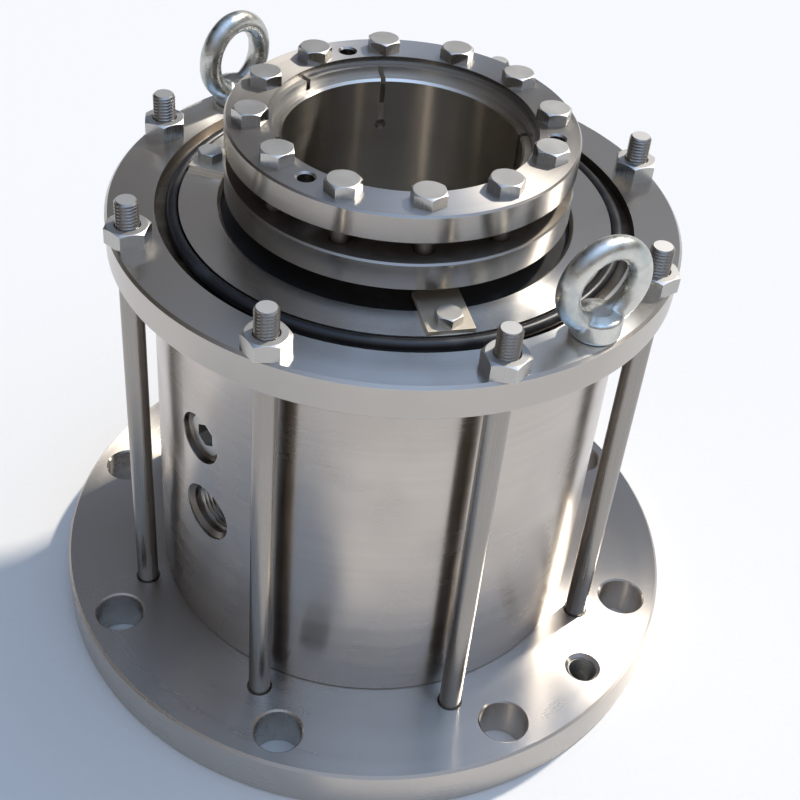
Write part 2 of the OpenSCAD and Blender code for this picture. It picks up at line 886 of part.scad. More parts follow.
// Split ring with two cones, squeezed on the sleeve by the clamping rings
module taper_ring() {
    z_low = z_clamp + taper_sink;
    z_high = z_top - taper_sink;
    r_end = clamp_r_in + taper_sink * tan(cone_angle) - fit;
    r_mid = clamp_r_mid - fit;
    r_in = neck_r + fit;
    color("gray")
        difference() {
            rotate_extrude()
                polygon([
                    [r_in, z_low], [r_end, z_low], [r_mid, z_gap], [r_mid, z_clamp_2],
                    [r_end, z_high], [r_in, z_high]
                ]);
            rotate(taper_cut_at)
                translate([0, -taper_cut / 2, z_low - over])
                    cube([clamp_r_mid + over, taper_cut, z_high - z_low + 2 * over]);
        }
}

// Clamping ring with a conical bore, narrow at z = 0
module clamp_blank() {
    c = 0.8;
    rotate_extrude()
        polygon([
            [clamp_r_in, 0], [clamp_r - c, 0], [clamp_r, c], [clamp_r, clamp_t - c],
            [clamp_r - c, clamp_t], [clamp_r_mid, clamp_t]
        ]);
}

module clamp_ring_lower() {
    color("lightgray")
        translate([0, 0, z_clamp])
            difference() {
                clamp_blank();
                circle_of(clamp_n, clamp_bolt_r, clamp_angle)
                    through_hole(clamp_bolt_d + 2 * fit, clamp_t, hole_c / 2);
            }
}

module clamp_ring_upper() {
    puller_d = clamp_bolt_d - tap_step;
    color("lightgray")
        translate([0, 0, z_clamp_2])
            difference() {
                translate([0, 0, clamp_t])
                    mirror([0, 0, 1])
                        clamp_blank();
                circle_of(clamp_n, clamp_bolt_r, clamp_angle)
                    through_hole(clamp_bolt_d + 2 * run, clamp_t, hole_c / 2);
                circle_of(puller_n, clamp_bolt_r, clamp_angle - 180 / clamp_n)
                    through_hole(puller_d, clamp_t, hole_c);
            }
}

module clamp_bolts() {
    len = 2 * clamp_t + clamp_gap - screw_c;
    color("gainsboro")
        circle_of(clamp_n, clamp_bolt_r, clamp_angle)
            translate([0, 0, z_top])
                hex_screw(clamp_bolt_d, len, clamp_bolt_af, clamp_bolt_head);
}

// Collar on the sleeve that turns the seal rings and carries both springs
module drive_collar() {
    color("silver")
        difference() {
            translate([0, 0, z_collar])
                tube(sleeve_r + fit, rotor_r, z_collar_top - z_collar, edge_c);
            place_set_screws()
                translate([0, 0, -over])
                    cylinder(d = set_screw_d + 2 * fit, h = rotor_r);
            circle_of(drive_pin_n, pin_r, 0) {
                translate([0, 0, z_collar - over])
                    cylinder(d = drive_pin_d + 2 * fit, h = drive_pin_set + fit + over);
                translate([0, 0, z_collar_top - drive_pin_set - fit])
                    cylinder(d = drive_pin_d + 2 * fit, h = drive_pin_set + fit + over);
            }
        }
}

// Places set screws radially, half way up the collar and between the drive pins
module place_set_screws() {
    circle_of(set_screw_n, sleeve_r + 2 * fit, 180 / set_screw_n)
        translate([0, 0, (z_collar + z_collar_top) / 2])
            rotate([0, 90, 0])
                children();
}

module collar_set_screws() {
    set_screw_sink = 2;
    len = rotor_r - sleeve_r - set_screw_sink;
    color("darkslategray")
        place_set_screws()
            difference() {
                tube(0, set_screw_d / 2, len, screw_c / 2);
                translate([0, 0, len - set_screw_key])
                    cylinder(r = set_screw_key / 2 / cos(30), h = set_screw_key + over, $fn = 6);
            }
}

// Pins at both ends of the collar that reach into the seal rings
module drive_pins() {
    len = drive_pin_set + spring_h + washer_t + drive_pin_reach;
    color("silver")
        circle_of(drive_pin_n, pin_r, 0) {
            translate([0, 0, z_collar + drive_pin_set - len])
                tube(0, drive_pin_d / 2, len, hole_c);
            translate([0, 0, z_collar_top - drive_pin_set])
                tube(0, drive_pin_d / 2, len, hole_c);
        }
}

// Wave height along the spring: it swells after the first turn and fades after the last waved turn
wire_gap = 0.1;
turns = wave_turns + 2;
swell = 60;
wave_h = (spring_h - spring_wire - turns * (spring_wire + wire_gap)) / (2 * wave_turns);
function rise(x) = x <= 0 ? 0 : x >= swell ? 1 : (1 - cos(180 * x / swell)) / 2;
function wave_at(a) = wave_h * (rise(a - 360) - rise(a - 360 * (turns - 1)));
// Mean height of the wire: each turn lies on the crests of the turn below it
function wire_base(a) =
    a <= 360
        ? (spring_wire + wire_gap) * a / 360
        : wire_base(a - 360) + spring_wire + wire_gap + wave_at(a - 360) + wave_at(a);
function wire_z(a) = wire_base(a) + wave_at(a) * sin(waves * a);

// Crest to crest wave spring of flat wire, swept as one closed solid
module wave_spring() {
    steps = 72;
    r_in = spring_r;
    r_out = spring_r + spring_wall;
    n = turns * steps;
    corners = [
        for (i = [0:n])
            let (a = 360 * i / steps, z = wire_z(a))
                for (c = [[r_in, 0], [r_out, 0], [r_out, spring_wire], [r_in, spring_wire]])
                    [c[0] * cos(a), c[0] * sin(a), z + c[1]]
    ];
    walls = [
        for (i = [0:n - 1])
            for (k = [0:3])
                [4 * i + k, 4 * i + (k + 1) % 4, 4 * i + 4 + (k + 1) % 4, 4 * i + 4 + k]
    ];
    ends = [[3, 2, 1, 0], [4 * n, 4 * n + 1, 4 * n + 2, 4 * n + 3]];
    color("lightslategray")
        polyhedron(points = corners, faces = concat(walls, ends), convexity = 2 * turns);
}

module lower_wave_spring() {
    translate([0, 0, z_collar - spring_h])
        wave_spring();
}

module upper_wave_spring() {
    translate([0, 0, z_collar_top])
        wave_spring();
}

// Rotating seal ring, drawn with its running face on z = 0 and its back on top
module seal_ring() {
    pocket = ring_cord + 2 * fit;
    pin_play = 1;
    pocket_r = sleeve_r + run + ring_cord + fit;
    pin_room = drive_pin_reach + float_travel + hole_c;
    color([0.16, 0.16, 0.17])
        difference() {
            rotate_extrude()
                polygon([
                    [nose_r, 0], [nose_r + nose_w, 0], [nose_r + nose_w, nose_h],
                    [rotor_r - hole_c, nose_h], [rotor_r, nose_h + hole_c], [rotor_r, ring_h],
                    [pocket_r, ring_h], [pocket_r, ring_h - pocket], [ring_bore_r, ring_h - pocket],
                    [ring_bore_r, nose_h], [nose_r, nose_h]
                ]);
            circle_of(drive_pin_n, pin_r, 0)
                translate([0, 0, ring_h - pin_room])
                    cylinder(d = drive_pin_d + pin_play, h = pin_room + over);
        }
}

module seal_ring_cord() {
    color("black")
        translate([0, 0, ring_h - fit - ring_cord / 2])
            cord_ring(sleeve_r + run + ring_cord / 2, ring_cord);
}

module thrust_washer() {
    color("silver")
        translate([0, 0, ring_h])
            tube(ring_bore_r, pin_r - drive_pin_d / 2 - 2 * run, washer_t, hole_c / 4);
}

// Places what rides on the lower seal face
module on_lower_face() {
    translate([0, 0, z_face_low + film])
        children();
}

// Places what rides upside down on the upper seal face
module on_upper_face() {
    translate([0, 0, z_face_high - film])
        mirror([0, 0, 1])
            children();
}

module lower_seal_ring() {
    on_lower_face()
        seal_ring();
}

module lower_ring_o_ring() {
    on_lower_face()
        seal_ring_cord();
}

module lower_thrust_washer() {
    on_lower_face()
        thrust_washer();
}

module upper_seal_ring() {
    on_upper_face()
        seal_ring();
}

module upper_ring_o_ring() {
    on_upper_face()
        seal_ring_cord();
}

module upper_thrust_washer() {
    on_upper_face()
        thrust_washer();
}

base_flange();
housing_shell();
cover_ring();
face_o_ring();
tie_rods();
tie_rod_nuts();
eye_bolt_front();
eye_bolt_rear();
setting_clips();
clip_screws();
port_plug();
foot_o_ring();
spigot_o_ring();
lower_seat();
lower_seat_o_ring();
lower_seat_pins();
seat_carrier();
carrier_o_ring();
upper_seat();
upper_seat_o_ring();
upper_seat_pins();
bearing_outer_race();
lip_seal();
shaft_sleeve();
shaft_o_ring();
drive_collar();
collar_set_screws();
drive_pins();
lower_wave_spring();
upper_wave_spring();
bearing_inner_race();
retaining_ring();
taper_ring();
clamp_ring_lower();
clamp_ring_upper();
clamp_bolts();
bearing_balls();
bearing_cage();
lower_seal_ring();
lower_ring_o_ring();
lower_thrust_washer();
upper_seal_ring();
upper_ring_o_ring();
upper_thrust_washer();
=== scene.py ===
import json
import math

import bmesh
import bpy
from mathutils import Matrix, Vector


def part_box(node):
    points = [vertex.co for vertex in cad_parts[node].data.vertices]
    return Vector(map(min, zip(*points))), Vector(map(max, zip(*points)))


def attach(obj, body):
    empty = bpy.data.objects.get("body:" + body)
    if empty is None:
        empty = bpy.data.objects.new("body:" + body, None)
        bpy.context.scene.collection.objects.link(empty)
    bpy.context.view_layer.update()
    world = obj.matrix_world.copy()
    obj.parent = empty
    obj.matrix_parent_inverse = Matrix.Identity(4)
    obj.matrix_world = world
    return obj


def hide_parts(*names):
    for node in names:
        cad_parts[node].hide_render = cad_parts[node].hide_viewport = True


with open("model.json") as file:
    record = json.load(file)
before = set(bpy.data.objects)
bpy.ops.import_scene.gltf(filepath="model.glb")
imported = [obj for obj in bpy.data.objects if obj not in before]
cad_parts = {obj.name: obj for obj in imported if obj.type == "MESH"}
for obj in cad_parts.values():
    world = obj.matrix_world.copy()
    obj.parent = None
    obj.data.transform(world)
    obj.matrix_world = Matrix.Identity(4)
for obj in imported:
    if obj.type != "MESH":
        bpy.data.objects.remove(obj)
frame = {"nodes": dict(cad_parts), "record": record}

# Cartridge mechanical seal: finishes, threads, forged eyes, floor, light and camera.
# Lengths are in metres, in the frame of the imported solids.

MM = 0.001
NODES = frame["nodes"]
MOUNTS = {m["name"]: m for m in frame["record"]["mounts"]}
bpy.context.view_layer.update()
HOUSING = "housing"


def top_of(node):
    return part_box(node)[1].z


def foot_of(node):
    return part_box(node)[0].z


COVER_FACE = top_of("cover_ring")

# Tie rods: their number, the circle they stand on and the angle of the first one
ROD_COUNT = 8
ROD_CIRCLE = 115.5 * MM
ROD_ANGLE = 24.3


# Mesh helpers

def ring_of(bm, radius_at, z, steps):
    """A closed ring of vertices on the Z axis whose radius follows the angle."""
    ring = []
    for i in range(steps):
        a = 2 * math.pi * i / steps
        r = radius_at(a)
        ring.append(bm.verts.new((r * math.cos(a), r * math.sin(a), z)))
    return ring


def join_rings(bm, rings):
    """Quads between neighbouring rings."""
    for low, high in zip(rings, rings[1:]):
        for i in range(len(low)):
            j = (i + 1) % len(low)
            bm.faces.new((low[i], low[j], high[j], high[i]))


def lathe(bm, outline, steps, closed=False):
    """Turns an outline of (radius, height) points round Z. An open one is capped at both ends."""
    rings = [ring_of(bm, lambda a, r=r: r, z, steps) for r, z in outline]
    if closed:
        rings.append(rings[0])
    join_rings(bm, rings)
    if not closed:
        bm.faces.new(reversed(rings[0]))
        bm.faces.new(rings[-1])


def facing_along(axis):
    """The turn that takes the Z axis to the given one."""
    return Vector(axis).to_track_quat("Z", "Y").to_matrix().to_4x4()


def finish_mesh(bm, name, smooth_degrees=40):
    bmesh.ops.recalc_face_normals(bm, faces=bm.faces)
    mesh = bpy.data.meshes.new(name)
    bm.to_mesh(mesh)
    bm.free()
    mesh.shade_smooth()
    mesh.set_sharp_from_angle(angle=math.radians(smooth_degrees))
    return mesh


def repeat(bm, count, radius, first):
    """Copies what is in bm to count places on a circle, and clears the original."""
    original = bm.verts[:] + bm.edges[:] + bm.faces[:]
    for i in range(count):
        angle = first + 360 * i / count
        made = bmesh.ops.duplicate(bm, geom=original)["geom"]
        moved = [g for g in made if isinstance(g, bmesh.types.BMVert)]
        turn = Matrix.Rotation(math.radians(angle), 4, "Z")
        bmesh.ops.transform(bm, matrix=turn @ Matrix.Translation((radius, 0, 0)), verts=moved)
    bmesh.ops.delete(bm, geom=[g for g in original if isinstance(g, bmesh.types.BMVert)])


def add_piece(mesh, material, body, slot, *replaced):
    piece = bpy.data.objects.new(mesh.name, mesh)
    bpy.context.scene.collection.objects.link(piece)
    piece.data.materials.append(material)
    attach(piece, body)
    if replaced:
        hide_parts(*replaced)
    return piece


# Shader helpers

def add(tree, kind, **settings):
    made = tree.nodes.new(kind)
    for key, value in settings.items():
        setattr(made, key, value)
    return made


def feed(tree, socket, value):
    """Links an output to a socket, or sets the socket's own value."""
    if isinstance(value, bpy.types.NodeSocket):
        tree.links.new(value, socket)
    else:
        socket.default_value = value


def calc(tree, operation, *values, clamp=False):
    made = add(tree, "ShaderNodeMath", operation=operation, use_clamp=clamp)
    for socket, value in zip(made.inputs, values):
        feed(tree, socket, value)
    return made.outputs[0]


def spread(tree, value, low, high, to_low=0.0, to_high=1.0):
    """Maps a value smoothly from one range to another."""
    made = add(tree, "ShaderNodeMapRange", interpolation_type="SMOOTHSTEP")
    for socket, v in zip(made.inputs, (value, low, high, to_low, to_high)):
        feed(tree, socket, v)
    return made.outputs[0]


def blend_colour(tree, factor, a, b):
    made = add(tree, "ShaderNodeMix", data_type="RGBA")
    feed(tree, made.inputs[0], factor)
    feed(tree, made.inputs[6], a)
    feed(tree, made.inputs[7], b)
    return made.outputs[2]


def noise(tree, vector, scale, detail=2.0, rough=0.5, distortion=0.0):
    made = add(tree, "ShaderNodeTexNoise")
    for name, value in (("Vector", vector), ("Scale", scale), ("Detail", detail),
                        ("Roughness", rough), ("Distortion", distortion)):
        feed(tree, made.inputs[name], value)
    return made.outputs["Fac"]


def own_place(tree):
    """The point on the surface, in metres, in the piece's own frame."""
    return add(tree, "ShaderNodeTexCoord").outputs["Object"]


def new_group(name, inputs, outputs):
    group = bpy.data.node_groups.new(name, "ShaderNodeTree")
    for label, value in inputs:
        socket = group.interface.new_socket(label, in_out="INPUT", socket_type="NodeSocketFloat")
        socket.default_value = value
    for label in outputs:
        group.interface.new_socket(label, in_out="OUTPUT", socket_type="NodeSocketFloat")
    return group, add(group, "NodeGroupInput"), add(group, "NodeGroupOutput")


def lathe_marks():
    """Fine tool lines that run round the Z axis, on faces and walls alike."""
    group, given, result = new_group("Lathe marks", [("Pitch", 0.0004), ("Wander", 2.0)],
                                     ["Height", "Tone"])
    xyz = add(group, "ShaderNodeSeparateXYZ")
    feed(group, xyz.inputs[0], own_place(group))
    x, y, z = xyz.outputs
    squares = calc(group, "ADD", calc(group, "MULTIPLY", x, x), calc(group, "MULTIPLY", y, y))
    radius = calc(group, "SQRT", squares)
    angle = calc(group, "ARCTAN2", y, x)
    place = add(group, "ShaderNodeCombineXYZ")
    feed(group, place.inputs[0], calc(group, "DIVIDE", radius, given.outputs["Pitch"]))
    feed(group, place.inputs[1], calc(group, "MULTIPLY", angle, given.outputs["Wander"]))
    feed(group, place.inputs[2], calc(group, "DIVIDE", z, given.outputs["Pitch"]))
    fine = noise(group, place.outputs[0], 1.0, 3.0, 0.6)
    broad = noise(group, place.outputs[0], 0.07, 2.0, 0.5)
    feed(group, result.inputs["Height"], fine)
    tone = calc(group, "ADD", calc(group, "MULTIPLY", fine, 0.4), calc(group, "MULTIPLY", broad, 0.6))
    feed(group, result.inputs["Tone"], tone)
    return group


def drawn_marks():
    """Fine lines that run along the Z axis, as on drawn bar or cut strip."""
    group, given, result = new_group("Drawn marks", [("Pitch", 0.0004), ("Length", 0.03)],
                                     ["Height", "Tone"])
    xyz = add(group, "ShaderNodeSeparateXYZ")
    feed(group, xyz.inputs[0], own_place(group))
    place = add(group, "ShaderNodeCombineXYZ")
    for i, share in enumerate(("Pitch", "Pitch", "Length")):
        feed(group, place.inputs[i], calc(group, "DIVIDE", xyz.outputs[i], given.outputs[share]))
    fine = noise(group, place.outputs[0], 1.0, 3.0, 0.6)
    feed(group, result.inputs["Height"], fine)
    feed(group, result.inputs["Tone"], spread(group, fine, 0.3, 0.7))
    return group


def handling():
    """Patches where hands and oil have dulled the metal."""
    group, given, result = new_group("Handling", [("Size", 0.05), ("Amount", 0.5)], ["Mask"])
    size = calc(group, "DIVIDE", 1.0, given.outputs["Size"])
    patch = noise(group, own_place(group), size, 2.0, 0.45, 0.4)
    mask = spread(group, patch, 0.32, 0.76)
    feed(group, result.inputs["Mask"], calc(group, "MULTIPLY", mask, given.outputs["Amount"]))
    return group


def worn_edges():
    """One along the piece's edges, fading over the given radius."""
    group, given, result = new_group("Worn edges", [("Radius", 0.0008), ("Gain", 4.0)], ["Mask"])
    rounded = add(group, "ShaderNodeBevel", samples=4)
    feed(group, rounded.inputs["Radius"], given.outputs["Radius"])
    dot = add(group, "ShaderNodeVectorMath", operation="DOT_PRODUCT")
    feed(group, dot.inputs[0], rounded.outputs[0])
    feed(group, dot.inputs[1], add(group, "ShaderNodeNewGeometry").outputs["True Normal"])
    bent = calc(group, "SUBTRACT", 1.0, dot.outputs["Value"])
    feed(group, result.inputs["Mask"], calc(group, "MULTIPLY", bent, given.outputs["Gain"], clamp=True))
    return group


def facing():
    """One on faces across the Z axis and zero on walls along it."""
    group, _, result = new_group("Facing", [], ["Flat"])
    normal = add(group, "ShaderNodeSeparateXYZ")
    feed(group, normal.inputs[0], add(group, "ShaderNodeNewGeometry").outputs["Normal"])
    feed(group, result.inputs["Flat"], spread(group, calc(group, "ABSOLUTE", normal.outputs[2]), 0.6, 0.95))
    return group


def painted_shade():
    """Painted shade: one between two heights and inside a radius, weaker in patches."""
    group, given, result = new_group("Painted shade", [("Low", 0.0), ("High", 0.01), ("Radius", 1.0)], ["Mask"])
    xyz = add(group, "ShaderNodeSeparateXYZ")
    feed(group, xyz.inputs[0], own_place(group))
    x, y, z = xyz.outputs
    squares = calc(group, "ADD", calc(group, "MULTIPLY", x, x), calc(group, "MULTIPLY", y, y))
    inside = calc(group, "LESS_THAN", calc(group, "SQRT", squares), given.outputs["Radius"])
    above = calc(group, "GREATER_THAN", z, given.outputs["Low"])
    below = calc(group, "LESS_THAN", z, given.outputs["High"])
    place = calc(group, "MULTIPLY", inside, calc(group, "MULTIPLY", above, below))
    uneven = spread(group, noise(group, own_place(group), 70.0, 5.0, 0.6), 0.25, 0.6, 0.75, 1.0)
    feed(group, result.inputs["Mask"], calc(group, "MULTIPLY", place, uneven))
    return group


def scratches():
    """Short fine scratches that cross each other."""
    group, given, result = new_group("Scratches", [("Size", 0.02), ("Amount", 0.5)], ["Mask"])
    total = None
    for turn, stretch in ((0.5, 9.0), (2.1, 7.0), (1.3, 12.0)):
        mapped = add(group, "ShaderNodeMapping", vector_type="TEXTURE")
        feed(group, mapped.inputs["Vector"], own_place(group))
        mapped.inputs["Rotation"].default_value = (0.0, 0.0, turn)
        mapped.inputs["Scale"].default_value = (stretch, 1.0, stretch)
        size = calc(group, "DIVIDE", 16.0, given.outputs["Size"])
        line = noise(group, mapped.outputs[0], size, 1.0, 0.3, 0.2)
        thin = spread(group, line, 0.70, 0.76)
        total = thin if total is None else calc(group, "MAXIMUM", total, thin)
    feed(group, result.inputs["Mask"], calc(group, "MULTIPLY", total, given.outputs["Amount"]))
    return group


GROUPS = {name: make() for name, make in
          (("lathe", lathe_marks), ("drawn", drawn_marks), ("handling", handling), ("edges", worn_edges),
           ("facing", facing), ("painted_shade", painted_shade), ("scratches", scratches))}


def use(tree, name, **values):
    made = add(tree, "ShaderNodeGroup", node_tree=GROUPS[name])
    for label, value in values.items():
        feed(tree, made.inputs[label], value)
    return made.outputs


def bumped(tree, height, strength, distance):
    bump = add(tree, "ShaderNodeBump")
    feed(tree, bump.inputs["Height"], height)
    bump.inputs["Strength"].default_value = strength
    bump.inputs["Distance"].default_value = distance
    return bump.outputs[0]


def new_material(name, **shader):
    """A material with its Principled shader's own values set, and its tree."""
    material = bpy.data.materials.new(name)
    material.use_nodes = True
    tree = material.node_tree
    principled = tree.nodes["Principled BSDF"]
    for key, value in shader.items():
        principled.inputs[key.replace("_", " ")].default_value = value
    return material, tree, principled.inputs


# How much brighter edges and scratches are than the metal, how far tool lines vary its roughness, how far
# dulled patches darken it, and what patches, scratches and the painted shade add to its roughness
BRIGHT_GAIN = 1.2
LINE_SPREAD = 0.08
DULL_DARK = 0.5
DULL_ROUGH = 0.14
SCRATCH_ROUGH = 0.2
SHADE_ROUGH = 0.12
# Depth of the finest relief on machined faces
FINE_RELIEF = 0.02 * MM
# Turns the long axis of the highlights from round the axis to across the tool lines
ACROSS_LINES = 0.25


def metal(name, light, dark, rough, marks="lathe", pitch=0.4 * MM, bite=0.15, aniso=0.6, stains=0.4,
          stain_size=0.05, edge=0.8 * MM, flat_rough=0.0, top_highlight=None, scratch=0.0, shade_place=None):
    """Machined steel: tool lines, dulled patches, scratches and bright worn edges, with painted highlight
    and painted shade.

    Light and dark are the colours that the tool lines run between. Faces across the Z axis take a lighter
    colour, a painted highlight on top faces, and flat_rough more roughness. The last argument is the low
    height, high height and radius of the place painted darker as shade.
    """
    material, tree, sockets = new_material(name, Metallic=1.0, Anisotropic=aniso)
    lines = use(tree, marks, Pitch=pitch)
    dull = use(tree, "handling", Size=stain_size, Amount=stains)["Mask"]
    worn = use(tree, "edges", Radius=edge)["Mask"]
    colour = blend_colour(tree, lines["Tone"], (*dark, 1), (*light, 1))
    colour = blend_colour(tree, calc(tree, "MULTIPLY", dull, DULL_DARK), colour, (*dark, 1))
    bright = tuple(min(1.0, c * BRIGHT_GAIN) for c in light)
    colour = blend_colour(tree, worn, colour, (*bright, 1))
    grain = spread(tree, lines["Tone"], 0.3, 0.7, rough * (1 - LINE_SPREAD), rough * (1 + LINE_SPREAD))
    roughness = calc(tree, "ADD", grain, calc(tree, "MULTIPLY", dull, DULL_ROUGH))
    # Painted highlight: faces across the Z axis take a lighter colour, as if lit from above.
    if top_highlight:
        flat = use(tree, "facing")["Flat"]
        colour = blend_colour(tree, flat, colour, (*top_highlight, 1))
        roughness = calc(tree, "ADD", roughness, calc(tree, "MULTIPLY", flat, flat_rough))
    if scratch:
        cut = use(tree, "scratches", Amount=scratch)["Mask"]
        colour = blend_colour(tree, cut, colour, (*bright, 1))
        roughness = calc(tree, "ADD", roughness, calc(tree, "MULTIPLY", cut, SCRATCH_ROUGH))
    # Painted shade: the given place is darkened with the shade colour, as if shade fell there.
    if shade_place:
        low, high, radius = shade_place
        shade_mask = use(tree, "painted_shade", Low=low, High=high, Radius=radius)["Mask"]
        colour = blend_colour(tree, shade_mask, colour, SHADE_COLOUR)
        roughness = calc(tree, "ADD", roughness, calc(tree, "MULTIPLY", shade_mask, SHADE_ROUGH))
    feed(tree, sockets["Base Color"], colour)
    feed(tree, sockets["Roughness"], calc(tree, "MINIMUM", roughness, 1.0))
    feed(tree, sockets["Normal"], bumped(tree, lines["Height"], bite, FINE_RELIEF))
    if aniso:
        tangent = add(tree, "ShaderNodeTangent", direction_type="RADIAL", axis="Z")
        feed(tree, sockets["Tangent"], tangent.outputs[0])
        if marks == "lathe":
            sockets["Anisotropic Rotation"].default_value = ACROSS_LINES
    return material


def rubber(name, colour, rough):
    material, tree, sockets = new_material(name, Specular_IOR_Level=0.5)
    place = own_place(tree)
    dust = noise(tree, place, 60.0, 5.0, 0.65)
    pores = noise(tree, place, 2500.0, 2.0, 0.5)
    pale = tuple(c + 0.035 for c in colour)
    dusty = spread(tree, dust, 0.5, 0.8)
    feed(tree, sockets["Base Color"], blend_colour(tree, dusty, (*colour, 1), (*pale, 1)))
    feed(tree, sockets["Roughness"], spread(tree, dust, 0.35, 0.75, rough, rough + 0.2))
    feed(tree, sockets["Normal"], bumped(tree, pores, 0.2, FINE_RELIEF))
    return material


def zinc(name):
    """Forged steel with bright zinc: soft hollows, and a blue and straw cast that drifts."""
    material, tree, sockets = new_material(name, Metallic=1.0)
    place = own_place(tree)
    cast = noise(tree, place, 70.0, 3.0, 0.55, 0.6)
    hollows = noise(tree, place, 260.0, 4.0, 0.55)
    pits = noise(tree, place, 1400.0, 2.0, 0.6)
    worn = use(tree, "edges", Radius=1.0 * MM)["Mask"]
    tint = blend_colour(tree, spread(tree, cast, 0.35, 0.65), (0.47, 0.50, 0.49, 1), (0.64, 0.635, 0.59, 1))
    feed(tree, sockets["Base Color"], blend_colour(tree, worn, tint, (0.86, 0.88, 0.88, 1)))
    feed(tree, sockets["Roughness"], spread(tree, hollows, 0.3, 0.7, 0.24, 0.46))
    relief = calc(tree, "ADD", hollows, calc(tree, "MULTIPLY", pits, 0.15))
    feed(tree, sockets["Normal"], bumped(tree, relief, 0.5, 0.25 * MM))
    return material


def ceramic(name, colour, rough, fleck):
    """Lapped seal face material with a fine fleck."""
    material, tree, sockets = new_material(name)
    flecks = noise(tree, own_place(tree), 1800.0, 3.0, 0.7)
    pale = tuple(c + fleck for c in colour)
    speckled = spread(tree, flecks, 0.45, 0.7)
    feed(tree, sockets["Base Color"], blend_colour(tree, speckled, (*colour, 1), (*pale, 1)))
    feed(tree, sockets["Roughness"], spread(tree, flecks, 0.3, 0.7, rough, rough + 0.1))
    feed(tree, sockets["Normal"], bumped(tree, flecks, 0.1, 0.01 * MM))
    return material


# Finishes

# Colour of the painted shade in gaps, the groove, the inside of the shell and the sides turned from the
# light
SHADE_COLOUR = (0.20, 0.175, 0.15, 1)

# Places painted darker as shade, as low height, high height and radius: the gap between the clamp rings, the
# bolts below the upper ring's top, the inside of the shell, the face groove, and the tie rod sides that face
# the shell
JUST = 0.1 * MM
ANY_RADIUS = 1.0
ANY_HEIGHT = 1.0
GAP = (top_of("clamp_ring_lower") - JUST, foot_of("clamp_ring_upper") + JUST, ANY_RADIUS)
UNDER_HEADS = (0.0, top_of("clamp_ring_upper") - JUST, ANY_RADIUS)
IN_THE_SHELL = (0.0, ANY_HEIGHT, 103.7 * MM)
FACE_GROOVE = (COVER_FACE - 5.5 * MM, COVER_FACE - 0.3 * MM, 102.6 * MM)
SHELL_SIDE = (0.0, foot_of("cover_ring"), ROD_CIRCLE - 1.0 * MM)

faced_steel = metal("Faced steel", (0.63, 0.59, 0.545), (0.55, 0.51, 0.47), 0.27, pitch=0.5 * MM, bite=0.06,
                    aniso=0.97, scratch=0.1)
# The cover's top face takes a much lighter colour (painted highlight), and its face groove is darkened
# (painted shade).
cover_steel = metal("Cover steel", (0.50, 0.47, 0.435), (0.45, 0.42, 0.385), 0.19, pitch=0.5 * MM, bite=0.06,
                    aniso=0.97, top_highlight=(0.90, 0.885, 0.86), scratch=0.06, shade_place=FACE_GROOVE)
# The inside of the shell is darkened: painted shade.
polished_shell = metal("Polished shell", (0.58, 0.53, 0.485), (0.44, 0.40, 0.365), 0.20, pitch=0.3 * MM,
                       bite=0.0, aniso=0.8, stains=0.8, stain_size=0.045, shade_place=IN_THE_SHELL)
# The rings' top faces are painted lighter (painted highlight); the rings and the taper ring are darkened in
# the gap between the rings (painted shade).
polished_ring = metal("Polished ring", (0.40, 0.375, 0.345), (0.36, 0.335, 0.305), 0.19, pitch=0.3 * MM,
                      bite=0.0, aniso=0.7, flat_rough=0.20, top_highlight=(0.60, 0.575, 0.55), shade_place=GAP)
taper_steel = metal("Taper steel", (0.72, 0.72, 0.715), (0.64, 0.64, 0.635), 0.28, bite=0.05, aniso=0.7,
                   shade_place=GAP)
honed_bore = metal("Honed bore", (0.80, 0.755, 0.69), (0.77, 0.725, 0.66), 0.19, pitch=0.2 * MM, bite=0.0,
                   aniso=1.0, stains=0.2)
# The rods' top faces are painted lighter (painted highlight), and their sides that face the shell below the
# cover are darkened (painted shade).
drawn_bar = metal("Drawn bar", (0.34, 0.32, 0.295), (0.295, 0.275, 0.255), 0.27, marks="drawn",
                  pitch=0.2 * MM, bite=0.04, aniso=0.0, flat_rough=0.2, top_highlight=(0.66, 0.65, 0.63),
                  shade_place=SHELL_SIDE)
# The bolts' and nuts' top faces are painted lighter (painted highlight); the bolts are darkened below the
# upper ring's top (painted shade).
fastener = metal("Bright fastener", (0.50, 0.49, 0.47), (0.45, 0.44, 0.42), 0.26, marks="drawn",
                 pitch=0.15 * MM, bite=0.0, aniso=0.0, stain_size=0.01, flat_rough=0.2,
                 top_highlight=(0.55, 0.54, 0.52), shade_place=UNDER_HEADS)
nut_steel = metal("Nut steel", (0.47, 0.46, 0.44), (0.43, 0.42, 0.40), 0.28, marks="drawn", pitch=0.15 * MM,
                  bite=0.0, aniso=0.0, stain_size=0.01, flat_rough=0.2, top_highlight=(0.54, 0.53, 0.51))
cut_thread = metal("Cut thread", (0.40, 0.385, 0.36), (0.28, 0.27, 0.25), 0.34, aniso=0.0)
cut_strip = metal("Cut strip", (0.84, 0.76, 0.64), (0.76, 0.68, 0.56), 0.46, marks="drawn", pitch=0.3 * MM,
                  aniso=0.0, stain_size=0.012)
ground_steel = metal("Ground steel", (0.72, 0.72, 0.72), (0.6, 0.6, 0.6), 0.12, pitch=0.2 * MM, aniso=0.3)
spring_steel = metal("Spring steel", (0.46, 0.46, 0.47), (0.36, 0.36, 0.37), 0.3, aniso=0.3)
cage_brass = metal("Cage brass", (0.78, 0.58, 0.28), (0.62, 0.44, 0.2), 0.28, aniso=0.4)
soft_black = rubber("Black cord", (0.018, 0.018, 0.02), 0.28)
lip_black = rubber("Lip seal", (0.012, 0.012, 0.013), 0.45)
zinc_plate = zinc("Zinc plate")
hard_seat = ceramic("Seat ceramic", (0.10, 0.105, 0.11), 0.2, 0.05)
carbon = ceramic("Seal carbon", (0.03, 0.03, 0.032), 0.35, 0.03)

